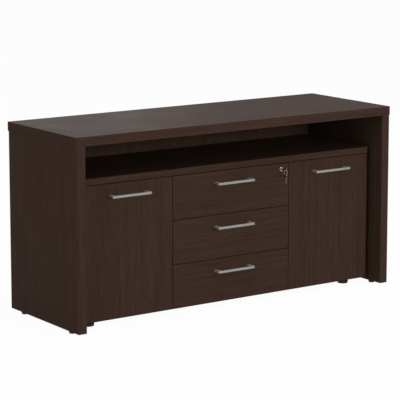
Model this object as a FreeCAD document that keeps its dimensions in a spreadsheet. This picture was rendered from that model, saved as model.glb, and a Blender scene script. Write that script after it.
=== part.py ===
"""A low cabinet: a thick bridge of top and side panels round an inner cabinet of two doors and three drawers.

Millimetres, +Z up, front towards -Y, origin on the floor below the middle of the top.
"""
import FreeCAD, Part
import os
import Sketcher

SIZES = {
    # bridge of top slab, side panels and back
    "overall_width": 1500,
    "overall_depth": 512,
    "overall_height": 750,
    "slab_thickness": 36,
    "panel_thickness": 36,
    "top_side_overhang": 3,
    "top_rear_overhang": 2,
    "back_thickness": 18,
    "edge_round": 1.2,
    "glide_height": 11,
    "glide_diameter": 26,
    "glide_sole_diameter": 21,
    "glide_chamfer": 2.7,
    "glide_front_inset": 76,
    "glide_rear_inset": 76,
    "glide_stem_diameter": 6,
    "glide_stem_length": 15,
    # inner cabinet
    "side_gap": 21,
    "front_setback": 67.5,
    "niche_height": 135,
    "shelf_thickness": 25,
    "board_thickness": 18,
    "drawer_bay_width": 544,
    "underside_height": 29,
    "foot_diameter": 44,
    "foot_neck_diameter": 28,
    "foot_plate_diameter": 44,
    "foot_sole_diameter": 39,
    "foot_chamfer": 2.2,
    "foot_taper": 4.4,
    "foot_base_height": 11,
    "foot_plate_height": 4,
    "foot_rib_thickness": 1.6,
    "foot_rib_height": 8,
    "foot_rib_inset": 1.5,
    "foot_rib_edge": 1.2,
    "foot_side_inset": 68,
    "foot_front_inset": 48,
    # loose shelf in the left bay
    "inner_shelf_rise": 245,
    "inner_shelf_setback": 25,
    "inner_shelf_play": 1,
    "pin_diameter": 5,
    "pin_depth": 9,
    "pin_reach": 9,
    "pin_row_inset": 60,
    "pin_pitch": 32,
    # fronts of doors and drawers
    "front_thickness": 18,
    "front_gap": 2.5,
    "front_clearance": 3,
    "front_round": 1,
    # bridge handles
    "handle_hole_spacing": 160,
    "handle_post_width": 16,
    "handle_height": 8.8,
    "handle_projection": 35,
    "handle_bar_depth": 9,
    "handle_drop": 46.2,
    "handle_round": 1,
    "handle_end_round": 4,
    "handle_fillet": 9,
    # machine screws of the handles, wood screws and dowels
    "handle_screw_diameter": 4,
    "handle_screw_grip": 12,
    "screw_head_diameter": 9,
    "screw_head_height": 1.8,
    "wood_screw_diameter": 5,
    "wood_screw_length": 50,
    "wood_screw_inset": 70,
    "wood_screw_rear_inset": 140,
    "dowel_diameter": 8,
    "dowel_length": 36,
    "dowel_inset": 60,
    "bore_play": 0.2,
    # drawer boxes
    "box_board": 15,
    "box_rear_gap": 36.5,
    "box_clearance": 4,
    "box_drop": 36,
    "bottom_thickness": 6,
    "groove_rise": 10,
    "groove_depth": 7,
    # telescopic slides
    "slide_rear_gap": 51.5,
    "slide_height": 45,
    "slide_thickness": 12.7,
    "slide_wall": 1.2,
    "slide_bend": 0.8,
    "slide_play": 0.3,
    "slide_step": 3,
    "slide_rise": 12,
    "slide_setback": 2,
    # cup hinges with one pin each
    "hinge_end_distance": 90,
    "hinge_edge": 8,
    "hinge_depth": 10,
    "hinge_pin_diameter": 2.5,
    "hinge_pin_play": 0.05,
    "hinge_eye_diameter": 4.8,
    "hinge_arm_width": 12,
    "hinge_arm_thickness": 2.4,
    "hinge_arm_round": 1,
    "hinge_neck_drop": 2,
    "hinge_arm_reach": 15.5,
    "hinge_arm_length": 78,
    "hinge_tail_round": 5,
    "cup_diameter": 35,
    "cup_wall": 0.9,
    "cup_depth": 13.8,
    "cup_clearance": 0.5,
    "cup_chamfer": 0.8,
    "cup_lip": 1,
    "cup_flange": 1.2,
    "cup_wing_width": 13,
    "cup_wing_length": 58,
    "cup_wing_round": 5,
    "hinge_plate_length": 44,
    "hinge_plate_width": 18,
    "hinge_wing_length": 50,
    "hinge_wing_width": 16,
    "hinge_wing_thickness": 2.5,
    "hinge_wing_round": 6,
    # cam lock of the top drawer, keys and ring
    "lock_inset": 38,
    "lock_drop": 23,
    "lock_barrel_diameter": 16,
    "lock_face_diameter": 18,
    "lock_face_height": 2,
    "lock_face_chamfer": 0.6,
    "lock_tail": 7,
    "plug_diameter": 11,
    "plug_play": 0.1,
    "plug_stem_diameter": 6,
    "cam_reach": 19,
    "cam_width": 12,
    "cam_thickness": 2.5,
    "cam_round": 5.4,
    "strike_width": 24,
    "strike_drop": 11,
    "strike_thickness": 1.5,
    "strike_flange": 14,
    "strike_bend": 1.2,
    "key_thickness": 2,
    "key_blade_width": 7,
    "key_entry": 7,
    "key_stem": 18,
    "key_bow_length": 13,
    "key_bow_width": 18,
    "key_bow_round": 5,
    "key_hole_diameter": 5,
    "key_hole_inset": 3.8,
    "key_tip": 1.6,
    "key_cut_pitch": 2.6,
    "key_cut_slope": 1.1,
    "key_cut_1": 1.1,
    "key_cut_2": 2,
    "key_cut_3": 0.8,
    "key_groove_width": 1.4,
    "key_groove_depth": 0.4,
    "key_groove_drop": 1.2,
    "key_groove_end": 2,
    "keyway_play": 0.2,
    "ring_radius": 8.5,
    "ring_wire": 1.8,
    "ring_play": 0.3,
}

doc = FreeCAD.newDocument("cabinet")
sheet = doc.addObject("Spreadsheet::Sheet", "sizes")
for row, (alias, value) in enumerate(SIZES.items(), 1):
    sheet.set(f"A{row}", alias)
    sheet.set(f"B{row}", str(value))
    sheet.setAlias(f"B{row}", alias)
doc.recompute()

# Planes and faces that several pieces share, as formulas on the sheet
HALF_WIDTH = "sizes.overall_width / 2"
FRONT = "-sizes.overall_depth / 2"
REAR = "sizes.overall_depth / 2"
PANEL_REAR = f"{REAR} - sizes.top_rear_overhang"
BACK_FACE = f"{PANEL_REAR} - sizes.back_thickness"
UNDER_TOP = "sizes.overall_height - sizes.slab_thickness"
PANEL_OUT = f"{HALF_WIDTH} - sizes.top_side_overhang"
PANEL_IN = f"{PANEL_OUT} - sizes.panel_thickness"
PANEL_MID = f"{PANEL_OUT} - sizes.panel_thickness / 2"
CABINET_SIDE = f"{PANEL_IN} - sizes.side_gap"
SIDE_IN = f"{CABINET_SIDE} - sizes.board_thickness"
SIDE_MID = f"{CABINET_SIDE} - sizes.board_thickness / 2"
SHELF_TOP = f"{UNDER_TOP} - sizes.niche_height"
SHELF_UNDER = f"{SHELF_TOP} - sizes.shelf_thickness"
FLOOR_TOP = "sizes.underside_height + sizes.board_thickness"
FRONT_FACE = f"{FRONT} + sizes.front_setback"
FRONT_BACK = f"{FRONT_FACE} + sizes.front_thickness"
CARCASS_FRONT = f"{FRONT_BACK} + sizes.front_clearance"
FRONTS_TOP = f"{SHELF_UNDER} - sizes.front_gap"
BAY = "sizes.drawer_bay_width / 2"
DIVIDER_OUT = f"{BAY} + sizes.board_thickness"
DIVIDER_MID = f"{BAY} + sizes.board_thickness / 2"
DOOR_OUT = f"{CABINET_SIDE} - sizes.front_gap"
DOOR_IN = f"{DIVIDER_MID} + sizes.front_gap / 2"
DRAWER_EDGE = f"{DIVIDER_MID} - sizes.front_gap / 2"
DRAWER_COUNT = 3
DRAWER_PITCH = f"({FRONTS_TOP} - sizes.underside_height + sizes.front_gap) / {DRAWER_COUNT}"
SIDES = {"left": -1, "right": 1}
TURN_ALONG = {"x": ((0, 1, 0), 90), "y": ((1, 0, 0), -90), "z": ((0, 0, 1), 0)}
parts = {}
bores = {}


def number(formula):
    """The value of a formula, in millimetres."""
    return sheet.evalExpression(formula)


def signed(side, formula):
    """The formula on the right-hand side, and its mirror on the left."""
    return f"{side} * ({formula})"


def across(side, inner, outer):
    """A pair of X formulas from the inner to the outer plane of one side, low value first."""
    low, high = (inner, outer) if side > 0 else (outer, inner)
    return signed(side, low), signed(side, high)


def place(thing, x, y, z, axis=(0, 0, 1), angle=0):
    """Puts a piece at three formulas, turned about an axis."""
    thing.Placement = FreeCAD.Placement(FreeCAD.Vector(), FreeCAD.Rotation(FreeCAD.Vector(*axis), angle))
    for letter, formula in zip("xyz", (x, y, z)):
        thing.setExpression(f"Placement.Base.{letter}", str(formula))
    return thing


def keep(label, solid):
    """Names a finished sub-part."""
    solid.Label = label
    parts[label] = solid
    return solid


def block(name, x, y, z):
    """A rectangular board between three pairs of formulas."""
    board = doc.addObject("Part::Box", name)
    for size, (low, high) in zip(("Length", "Width", "Height"), (x, y, z)):
        board.setExpression(size, f"({high}) - ({low})")
    return place(board, x[0], y[0], z[0])


def eased(board, radius, chosen=lambda a, b: True):
    """Rounds the edges of a board, or only those that pass a test on their two ends."""
    doc.recompute()
    rounded = doc.addObject("Part::Fillet", f"{board.Name}_eased")
    rounded.Base = board
    rounded.Edges = [
        (index, number(radius), number(radius))
        for index, edge in enumerate(board.Shape.Edges, 1)
        if chosen(edge.Vertexes[0].Point, edge.Vertexes[-1].Point)
    ]
    return rounded


def rod(name, diameter, length, x, y, z, along):
    """A round bar or bore that starts at a point and runs along an axis."""
    bar = doc.addObject("Part::Cylinder", name)
    bar.setExpression("Radius", f"({diameter}) / 2")
    bar.setExpression("Height", length)
    return place(bar, x, y, z, *TURN_ALONG[along])


def group(label, solids):
    """Several separate solids under one name."""
    bundle = doc.addObject("Part::Compound", label)
    bundle.Links = solids
    return bundle


def bored(label, solid, tools):
    """A piece with its holes, slots and grooves cut out."""
    cut = doc.addObject("Part::Cut", f"{label}_bored")
    cut.Base = solid
    cut.Tool = tools[0] if len(tools) == 1 else group(f"{label}_tools", tools)
    return cut


def bore_for(tool, *labels):
    """Notes a bore that is cut out of each named board when the board is finished."""
    for label in labels:
        bores.setdefault(label, []).append(tool)


def finish_board(label, board):
    """Cuts a board's noted bores and keeps it."""
    tools = bores.pop(label, [])
    return keep(label, bored(label, board, tools) if tools else board)


def sketch_on(body, plane, name):
    """An empty sketch on one of a body's own origin planes."""
    sketch = body.newObject("Sketcher::SketchObject", name)
    origin = next(feature for feature in body.Origin.OriginFeatures if feature.Role == plane)
    sketch.AttachmentSupport = [(origin, "")]
    sketch.MapMode = "FlatFace"
    return sketch


def fix_point(sketch, geometry, position, u, v):
    """Ties a point of a sketch to two formulas."""
    for kind, formula in (("DistanceX", u), ("DistanceY", v)):
        index = sketch.addConstraint(Sketcher.Constraint(kind, -1, 1, geometry, position, number(formula)))
        sketch.setExpression(f"Constraints[{index}]", formula)


def add_outline(sketch, corners):
    """Adds a closed outline of straight edges, each corner tied to the sheet."""
    first = sketch.GeometryCount
    count = len(corners)
    spots = [FreeCAD.Vector(number(u), number(v), 0) for u, v in corners]
    for step in range(count):
        sketch.addGeometry(Part.LineSegment(spots[step], spots[(step + 1) % count]))
    for step in range(count):
        following = first + (step + 1) % count
        sketch.addConstraint(Sketcher.Constraint("Coincident", first + step, 2, following, 1))
        fix_point(sketch, first + step, 1, *corners[step])


def new_body(name):
    return doc.addObject("PartDesign::Body", name)


def turned(body, corners, plane="XZ_Plane"):
    """Revolves an outline of radius and height about the sketch's upright axis."""
    sketch = sketch_on(body, plane, f"{body.Name}_profile")
    add_outline(sketch, corners)
    revolution = body.newObject("PartDesign::Revolution", f"{body.Name}_turned")
    revolution.Profile = sketch
    revolution.ReferenceAxis = (sketch, ["V_Axis"])
    revolution.Angle = 360
    return revolution


def padded(body, plane, outlines, length, side="Symmetric", reverse=False):
    """Pads one or more closed outlines on an origin plane of the body."""
    sketch = sketch_on(body, plane, f"{body.Name}_outline")
    for corners in outlines:
        add_outline(sketch, corners)
    pad = body.newObject("PartDesign::Pad", f"{body.Name}_pad")
    pad.Profile = sketch
    pad.SideType = side
    pad.Reversed = reverse
    pad.setExpression("Length", length)
    return pad


def same(first, second):
    """Whether two lengths are equal, but for rounding."""
    return abs(first - second) < 1e-6


def round_edges(body, feature, radius, chosen):
    """Rounds the edges of a feature that pass a test on their two ends."""
    doc.recompute()
    names = [
        f"Edge{index}"
        for index, edge in enumerate(feature.Shape.Edges, 1)
        if chosen(edge.Vertexes[0].Point, edge.Vertexes[-1].Point)
    ]
    fillet = body.newObject("PartDesign::Fillet", f"{body.Name}_round")
    fillet.Base = (feature, names)
    fillet.setExpression("Radius", radius)
    return fillet


def rectangle(u, v):
    """Four corners from two pairs of formulas."""
    return [(u[0], v[0]), (u[1], v[0]), (u[1], v[1]), (u[0], v[1])]


def screw(name, shank_diameter, shank_length):
    """A pan-head screw along Y, with its tip at the origin and its head seat at the shank's length."""
    body = new_body(name)
    shank = f"{shank_diameter} / 2"
    head = "sizes.screw_head_diameter / 2"
    top = f"{shank_length} + sizes.screw_head_height"
    turned(body, [
        ("0", "0"), (shank, "0"), (shank, shank_length), (head, shank_length), (head, top), ("0", top),
    ], "XY_Plane")
    return body


# Dowels that join the top to the side panels, and the niche shelf to its uprights
UPRIGHTS = {"cabinet_left_side": f"-({SIDE_MID})", "cabinet_right_side": SIDE_MID,
            "left_divider": f"-({DIVIDER_MID})", "right_divider": DIVIDER_MID}
DOWEL_BORE = "sizes.dowel_diameter + sizes.bore_play"
DOWEL_HOLE = "sizes.dowel_length + sizes.bore_play"


def dowel(x, y, seam, upper, lower):
    """A wooden dowel, half in the upper board and half in the lower one."""
    name = f"dowel_{lower}"
    bottom = f"{seam} - sizes.dowel_length / 2"
    peg = rod(name, "sizes.dowel_diameter", "sizes.dowel_length", x, y, bottom, "z")
    bore = rod(f"{name}_bore", DOWEL_BORE, DOWEL_HOLE, x, y, f"{bottom} - sizes.bore_play / 2", "z")
    bore_for(bore, upper, lower)
    return peg


dowels = []
for hand, side in SIDES.items():
    for y in (f"{FRONT} + sizes.dowel_inset", "0", f"{PANEL_REAR} - sizes.dowel_inset"):
        dowels.append(dowel(signed(side, PANEL_MID), y, UNDER_TOP, "top_slab", f"{hand}_side_panel"))
for upright, x in UPRIGHTS.items():
    for y in (f"{CARCASS_FRONT} + sizes.dowel_inset", f"{BACK_FACE} - sizes.dowel_inset"):
        dowels.append(dowel(x, y, SHELF_UNDER, "niche_shelf", upright))
keep("dowels", group("dowels", dowels))

# Wood screws through the back panel and through the cabinet floor into the uprights
SCREW_BORE = "sizes.wood_screw_diameter + sizes.bore_play"
SCREW_HOLE = "sizes.wood_screw_length + sizes.bore_play"
wood_screws = []
for upright, x in UPRIGHTS.items():
    for z in (f"{FLOOR_TOP} + sizes.wood_screw_inset", f"{SHELF_UNDER} - sizes.wood_screw_inset"):
        tip = f"{PANEL_REAR} - sizes.wood_screw_length"
        wood_screw = screw("back_screw", "sizes.wood_screw_diameter", "sizes.wood_screw_length")
        wood_screws.append(place(wood_screw, x, tip, z))
        bore = rod("back_screw_bore", SCREW_BORE, SCREW_HOLE, x, f"{tip} - sizes.bore_play", z, "y")
        bore_for(bore, "back_panel", upright)
    for y in (f"{CARCASS_FRONT} + sizes.wood_screw_inset", f"{BACK_FACE} - sizes.wood_screw_rear_inset"):
        tip = "sizes.underside_height + sizes.wood_screw_length"
        wood_screw = screw("floor_screw", "sizes.wood_screw_diameter", "sizes.wood_screw_length")
        wood_screws.append(place(wood_screw, x, y, tip, (1, 0, 0), -90))
        bore = rod("floor_screw_bore", SCREW_BORE, SCREW_HOLE, x, y, "sizes.underside_height", "z")
        bore_for(bore, "cabinet_floor", upright)
keep("assembly_screws", group("assembly_screws", wood_screws))

# Glides under the side panels, each on a stem in the panel's lower edge
glides = []
for hand, side in SIDES.items():
    for y in (f"{FRONT} + sizes.glide_front_inset", f"{PANEL_REAR} - sizes.glide_rear_inset"):
        glide = new_body("glide")
        radius = "sizes.glide_diameter / 2"
        stem = "sizes.glide_stem_diameter / 2"
        top = "sizes.glide_height + sizes.glide_stem_length"
        turned(glide, [
            ("0", "0"), ("sizes.glide_sole_diameter / 2", "0"), (radius, "sizes.glide_chamfer"),
            (radius, "sizes.glide_height"), (stem, "sizes.glide_height"), (stem, top), ("0", top),
        ])
        glides.append(place(glide, signed(side, PANEL_MID), y, "0"))
        bore = rod("glide_bore", "sizes.glide_stem_diameter + sizes.bore_play",
                   "sizes.glide_stem_length + sizes.bore_play",
                   signed(side, PANEL_MID), y, "sizes.glide_height", "z")
        bore_for(bore, f"{hand}_side_panel")
keep("panel_glides", group("panel_glides", glides))

# Bridge: top slab, side panels and back panel
slab = block("slab", (f"-{HALF_WIDTH}", HALF_WIDTH), (FRONT, REAR), (UNDER_TOP, "sizes.overall_height"))
finish_board("top_slab", eased(slab, "sizes.edge_round"))
for hand, side in SIDES.items():
    panel = block(f"{hand}_panel", across(side, PANEL_IN, PANEL_OUT), (FRONT, PANEL_REAR),
                  ("sizes.glide_height", UNDER_TOP))
    finish_board(f"{hand}_side_panel", eased(panel, "sizes.edge_round"))
back = block("back", (f"-({PANEL_IN})", PANEL_IN), (BACK_FACE, PANEL_REAR),
             ("sizes.underside_height", UNDER_TOP))
finish_board("back_panel", back)

# Loose shelf on four pins, with a short row of pin holes above and below each pin
SHELF_REST = f"{FLOOR_TOP} + sizes.inner_shelf_rise"
PIN_LEVEL = f"{SHELF_REST} - sizes.pin_diameter / 2"
PIN_BORE = "sizes.pin_diameter + sizes.bore_play"
LEFT_BAY = (f"-({SIDE_IN})", f"-({DIVIDER_OUT})")
shelf_pins = []
for y in (f"{CARCASS_FRONT} + sizes.pin_row_inset", f"{BACK_FACE} - sizes.pin_row_inset"):
    for label, wall, inward in (("cabinet_left_side", LEFT_BAY[0], 1), ("left_divider", LEFT_BAY[1], -1)):
        depth = "sizes.pin_depth" if inward > 0 else "sizes.pin_reach"
        shelf_pins.append(rod("shelf_pin", "sizes.pin_diameter", "sizes.pin_depth + sizes.pin_reach",
                              f"{wall} - {depth}", y, PIN_LEVEL, "x"))
        start = f"{wall} - sizes.pin_depth - sizes.bore_play" if inward > 0 else wall
        for step in (-1, 0, 1):
            level = f"{PIN_LEVEL} + {step} * sizes.pin_pitch"
            hole = rod("pin_hole", PIN_BORE, "sizes.pin_depth + sizes.bore_play", start, y, level, "x")
            bore_for(hole, label)
keep("shelf_pins", group("shelf_pins", shelf_pins))
inner_shelf = block(
    "loose_shelf",
    (f"{LEFT_BAY[0]} + sizes.inner_shelf_play", f"{LEFT_BAY[1]} - sizes.inner_shelf_play"),
    (f"{CARCASS_FRONT} + sizes.inner_shelf_setback", f"{BACK_FACE} - sizes.inner_shelf_play"),
    (SHELF_REST, f"{SHELF_REST} + sizes.board_thickness"),
)
keep("inner_shelf", inner_shelf)

# Inner cabinet: niche shelf, floor, sides and dividers
niche_shelf = block("shelf", (f"-({CABINET_SIDE})", CABINET_SIDE), (FRONT_FACE, BACK_FACE),
                    (SHELF_UNDER, SHELF_TOP))
finish_board("niche_shelf", eased(niche_shelf, "sizes.front_round"))
cabinet_floor = block("floor", (f"-({CABINET_SIDE})", CABINET_SIDE), (CARCASS_FRONT, BACK_FACE),
                      ("sizes.underside_height", FLOOR_TOP))
finish_board("cabinet_floor", cabinet_floor)
for hand, side in SIDES.items():
    depth_and_height = ((CARCASS_FRONT, BACK_FACE), (FLOOR_TOP, SHELF_UNDER))
    wall = block(f"{hand}_wall", across(side, SIDE_IN, CABINET_SIDE), *depth_and_height)
    finish_board(f"cabinet_{hand}_side", wall)
    partition = block(f"{hand}_partition", across(side, BAY, DIVIDER_OUT), *depth_and_height)
    finish_board(f"{hand}_divider", partition)

# Round feet under the inner cabinet: a broad base and a neck, ribbed below a plate against the floor board
FOOT_RIBS = 8
feet = []
for hand, side in SIDES.items():
    for y in (f"{CARCASS_FRONT} + sizes.foot_front_inset", f"{BACK_FACE} - sizes.foot_front_inset"):
        foot = new_body("foot")
        base = "sizes.foot_diameter / 2"
        neck = "sizes.foot_neck_diameter / 2"
        plate = "sizes.foot_plate_diameter / 2"
        plate_under = "sizes.underside_height - sizes.foot_plate_height"
        turned(foot, [
            ("0", "0"), ("sizes.foot_sole_diameter / 2", "0"), (base, "sizes.foot_chamfer"),
            (base, "sizes.foot_base_height"), (neck, "sizes.foot_base_height + sizes.foot_taper"),
            (neck, plate_under),
            (plate, plate_under), (plate, "sizes.underside_height"), ("0", "sizes.underside_height"),
        ])
        rib_under = f"{plate_under} - sizes.foot_rib_height"
        rib_tip = f"{plate} - sizes.foot_rib_inset"
        rib = padded(foot, "XZ_Plane", [[
            ("0", rib_under), (neck, rib_under), (rib_tip, f"{plate_under} - sizes.foot_rib_edge"),
            (rib_tip, plate_under), ("0", plate_under),
        ]], "sizes.foot_rib_thickness")
        ribs = foot.newObject("PartDesign::PolarPattern", "foot_ribs")
        ribs.Originals = [rib]
        ribs.Axis = (rib.Profile[0], ["V_Axis"])
        ribs.Angle = 360
        ribs.Occurrences = FOOT_RIBS
        foot.Tip = ribs
        feet.append(place(foot, signed(side, f"{CABINET_SIDE} - sizes.foot_side_inset"), y, "0"))
keep("cabinet_feet", group("cabinet_feet", feet))

# Bridge handle: one bar with a post at each end, tapped for two screws
HANDLE_END = "(sizes.handle_hole_spacing + sizes.handle_post_width) / 2"
HANDLE_INNER = "(sizes.handle_hole_spacing - sizes.handle_post_width) / 2"


def handle(label, x, z, stack):
    """A handle on a front, with its two screws through a stack of boards of the given thickness."""
    body = new_body(f"{label}_form")
    back = "sizes.handle_projection"
    bar = "sizes.handle_bar_depth"
    pad = padded(body, "XY_Plane", [[
        (f"-{HANDLE_END}", "0"), (HANDLE_END, "0"), (HANDLE_END, back), (HANDLE_INNER, back),
        (HANDLE_INNER, bar), (f"-{HANDLE_INNER}", bar), (f"-{HANDLE_INNER}", back), (f"-{HANDLE_END}", back),
    ]], "sizes.handle_height")
    corners = ((HANDLE_END, "0", "sizes.handle_end_round"), (HANDLE_INNER, bar, "sizes.handle_fillet"))
    rounded = pad
    for across_x, depth, radius in corners:
        corner_x, corner_y = number(across_x), number(depth)
        rounded = round_edges(body, rounded, radius, lambda a, b: same(a.x, b.x) and same(abs(a.x), corner_x)
                              and same(a.y, corner_y) and same(b.y, corner_y))
    round_edges(body, rounded, "sizes.handle_round", lambda a, b: same(a.y, 0) and same(b.y, 0))
    place(body, x, f"{FRONT_FACE} - sizes.handle_projection", z)
    screws, taps = [], []
    for side in SIDES.values():
        across_x = f"{x} + {side} * sizes.handle_hole_spacing / 2"
        tip = f"{FRONT_FACE} - sizes.handle_screw_grip"
        bolt = screw(f"{label}_screw", "sizes.handle_screw_diameter", f"{stack} + sizes.handle_screw_grip")
        screws.append(place(bolt, across_x, tip, z))
        taps.append(rod(f"{label}_tap", "sizes.handle_screw_diameter + sizes.bore_play",
                        f"{stack} + sizes.handle_screw_grip + sizes.bore_play",
                        across_x, f"{tip} - sizes.bore_play", z, "y"))
    keep(label, bored(label, body, taps))
    keep(f"{label}_screws", group(f"{label}_screws", screws))
    return taps


# Cup hinges with one pin: cup and pin on the door, arm and mounting plate on the cabinet side
PIN_X = f"{DOOR_OUT} - sizes.hinge_edge"
PIN_Y = f"{FRONT_BACK} - sizes.hinge_depth"
PIN_HOLE = "sizes.hinge_pin_diameter + 2 * sizes.hinge_pin_play"
CUP_INNER = "sizes.cup_diameter / 2 - sizes.cup_wall"
CUP_FLOOR = "sizes.cup_depth - sizes.cup_wall"
EYE_CORNER = f"sqrt(({CUP_INNER} - sizes.cup_clearance) ^ 2 - (sizes.hinge_arm_width / 2) ^ 2)"
CUP_OFFSET = f"{EYE_CORNER} - sizes.hinge_eye_diameter / 2"
PIN_LENGTH = f"2 * sqrt(({CUP_INNER}) ^ 2 - ({CUP_OFFSET}) ^ 2)"
ARM_INNER = "sizes.hinge_arm_reach - sizes.hinge_arm_thickness / 2"
ARM_OUTER = "sizes.hinge_arm_reach + sizes.hinge_arm_thickness / 2"
HINGE_LEVELS = ("sizes.underside_height + sizes.hinge_end_distance",
                f"{FRONTS_TOP} - sizes.hinge_end_distance")
UPSIDE_DOWN = {-1: 180, 1: 0}


def hinge_cup(hand, side, z):
    """A pressed cup with a lip and two wings on the inside of a door."""
    cup = new_body(f"{hand}_cup")
    outer = "sizes.cup_diameter / 2"
    lip = f"{outer} + sizes.cup_lip"
    turned(cup, [
        ("0", "-sizes.cup_depth"), (f"{outer} - sizes.cup_chamfer", "-sizes.cup_depth"),
        (outer, "sizes.cup_chamfer - sizes.cup_depth"), (outer, "0"), (lip, "0"),
        (lip, "sizes.cup_flange"),
        (CUP_INNER, "sizes.cup_flange"), (CUP_INNER, f"-({CUP_FLOOR})"), ("0", f"-({CUP_FLOOR})"),
    ], "XY_Plane")
    half = "sizes.cup_wing_width / 2"
    wings = [
        rectangle((f"-{half}", half),
                  (f"{end} * sizes.cup_diameter / 2", f"{end} * sizes.cup_wing_length / 2"))
        for end in (-1, 1)
    ]
    flange = padded(cup, "XZ_Plane", wings, "sizes.cup_flange", "One side", True)
    wing_end = number("sizes.cup_wing_length / 2")
    round_edges(cup, flange, "sizes.cup_wing_round",
                lambda a, b: same(a.x, b.x) and same(a.z, b.z) and same(abs(a.z), wing_end))
    x = signed(side, f"{PIN_X} - ({CUP_OFFSET})")
    place(cup, x, FRONT_BACK, z, (0, 1, 0), UPSIDE_DOWN[side])
    recess = rod(f"{hand}_cup_recess", "sizes.cup_diameter + sizes.bore_play",
                 "sizes.cup_depth + sizes.bore_play", x,
                 f"{FRONT_BACK} - sizes.cup_depth - sizes.bore_play", z, "y")
    bore_for(recess, f"{hand}_door")
    return cup


def hinge_arm(hand, side, z):
    """A cranked arm: an eye round the pin, a neck that leaves the cup and a tail along the cabinet side."""
    arm = new_body(f"{hand}_arm")
    low = "-sizes.hinge_neck_drop"
    high = f"{low} + sizes.hinge_arm_thickness"
    neck = padded(arm, "XY_Plane", [[
        ("0", low), ("0", high), (f"-({ARM_INNER})", high), (f"-({ARM_INNER})", "sizes.hinge_arm_length"),
        (f"-({ARM_OUTER})", "sizes.hinge_arm_length"), (f"-({ARM_OUTER})", low),
    ]], "sizes.hinge_arm_width")
    crook = -number("sizes.hinge_arm_reach")
    inside = number("sizes.hinge_arm_length") / 2
    bent = round_edges(arm, neck, "sizes.hinge_arm_round",
                       lambda a, b: same(a.x, b.x) and same(a.y, b.y) and a.x < crook / 2 and a.y < inside)
    tail = number("sizes.hinge_arm_length")
    round_edges(arm, bent, "sizes.hinge_tail_round",
                lambda a, b: same(a.y, tail) and same(b.y, tail) and same(a.z, b.z))
    eye = sketch_on(arm, "XY_Plane", "eye_outline")
    eye_radius = number("sizes.hinge_eye_diameter") / 2
    eye.addGeometry(Part.Circle(FreeCAD.Vector(), FreeCAD.Vector(0, 0, 1), eye_radius))
    eye.addConstraint(Sketcher.Constraint("Coincident", 0, 3, -1, 1))
    width = eye.addConstraint(Sketcher.Constraint("Diameter", 0, number("sizes.hinge_eye_diameter")))
    eye.setExpression(f"Constraints[{width}]", "sizes.hinge_eye_diameter")
    knuckle = arm.newObject("PartDesign::Pad", "eye_pad")
    knuckle.Profile = eye
    knuckle.SideType = "Symmetric"
    knuckle.setExpression("Length", "sizes.hinge_arm_width")
    return place(arm, signed(side, PIN_X), PIN_Y, z, (0, 1, 0), UPSIDE_DOWN[side])


def hinge_plate(hand, side, z):
    """A mounting plate between the arm and the cabinet side: a raised middle with two screw wings."""
    start = f"{PIN_Y} + sizes.hinge_arm_length - sizes.hinge_plate_length"
    middle = f"{start} + sizes.hinge_plate_length / 2"
    core = block(f"{hand}_plate_core", across(side, f"{PIN_X} - ({ARM_INNER})", SIDE_IN),
                 (start, f"{start} + sizes.hinge_plate_length"),
                 (f"{z} - sizes.hinge_plate_width / 2", f"{z} + sizes.hinge_plate_width / 2"))
    wings = block(f"{hand}_plate_wings", across(side, f"{SIDE_IN} - sizes.hinge_wing_thickness", SIDE_IN),
                  (f"{middle} - sizes.hinge_wing_width / 2", f"{middle} + sizes.hinge_wing_width / 2"),
                  (f"{z} - sizes.hinge_wing_length / 2", f"{z} + sizes.hinge_wing_length / 2"))
    round_wings = eased(wings, "sizes.hinge_wing_round", lambda a, b: same(a.y, b.y) and same(a.z, b.z))
    plate = doc.addObject("Part::MultiFuse", f"{hand}_plate")
    plate.Shapes = [core, round_wings]
    return plate


hinge_arms, hinge_plates = [], []
for hand, side in SIDES.items():
    cups, pins = [], []
    for z in HINGE_LEVELS:
        pin_spot = (signed(side, PIN_X), PIN_Y, f"{z} - ({PIN_LENGTH}) / 2")
        pins.append(rod(f"{hand}_pin", "sizes.hinge_pin_diameter", PIN_LENGTH, *pin_spot, "z"))
        pin_bore = rod(f"{hand}_pin_bore", PIN_HOLE, PIN_LENGTH, *pin_spot, "z")
        cups.append(bored(f"{hand}_cup", hinge_cup(hand, side, z), [pin_bore]))
        hinge_arms.append(bored(f"{hand}_arm", hinge_arm(hand, side, z), [pin_bore]))
        hinge_plates.append(hinge_plate(hand, side, z))
    keep(f"{hand}_hinge_cups", group(f"{hand}_hinge_cups", cups))
    keep(f"{hand}_hinge_pins", group(f"{hand}_hinge_pins", pins))
keep("hinge_arms", group("hinge_arms", hinge_arms))
keep("hinge_plates", group("hinge_plates", hinge_plates))

# Doors, each with a handle near its upper edge
for hand, side in SIDES.items():
    middle = signed(side, f"(({DOOR_IN}) + ({DOOR_OUT})) / 2")
    taps = handle(f"{hand}_door_handle", middle, f"{FRONTS_TOP} - sizes.handle_drop", "sizes.front_thickness")
    for tap in taps:
        bore_for(tap, f"{hand}_door")
    leaf = block(f"{hand}_leaf", across(side, DOOR_IN, DOOR_OUT), (FRONT_FACE, FRONT_BACK),
                 ("sizes.underside_height", FRONTS_TOP))
    finish_board(f"{hand}_door", eased(leaf, "sizes.front_round"))

# Telescopic slides: three nested channels on each side of each drawer
FLANGE = "sizes.slide_height / 2"
WALL = "sizes.slide_wall"
NEST = "(sizes.slide_wall + sizes.slide_play)"
SLIDE_TIP = "sizes.slide_thickness - sizes.slide_wall - sizes.slide_play"
SLIDE_FRONT = f"{CARCASS_FRONT} + sizes.slide_setback"
SLIDE_LENGTH = f"({BACK_FACE} - sizes.slide_rear_gap) - ({SLIDE_FRONT})"


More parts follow.
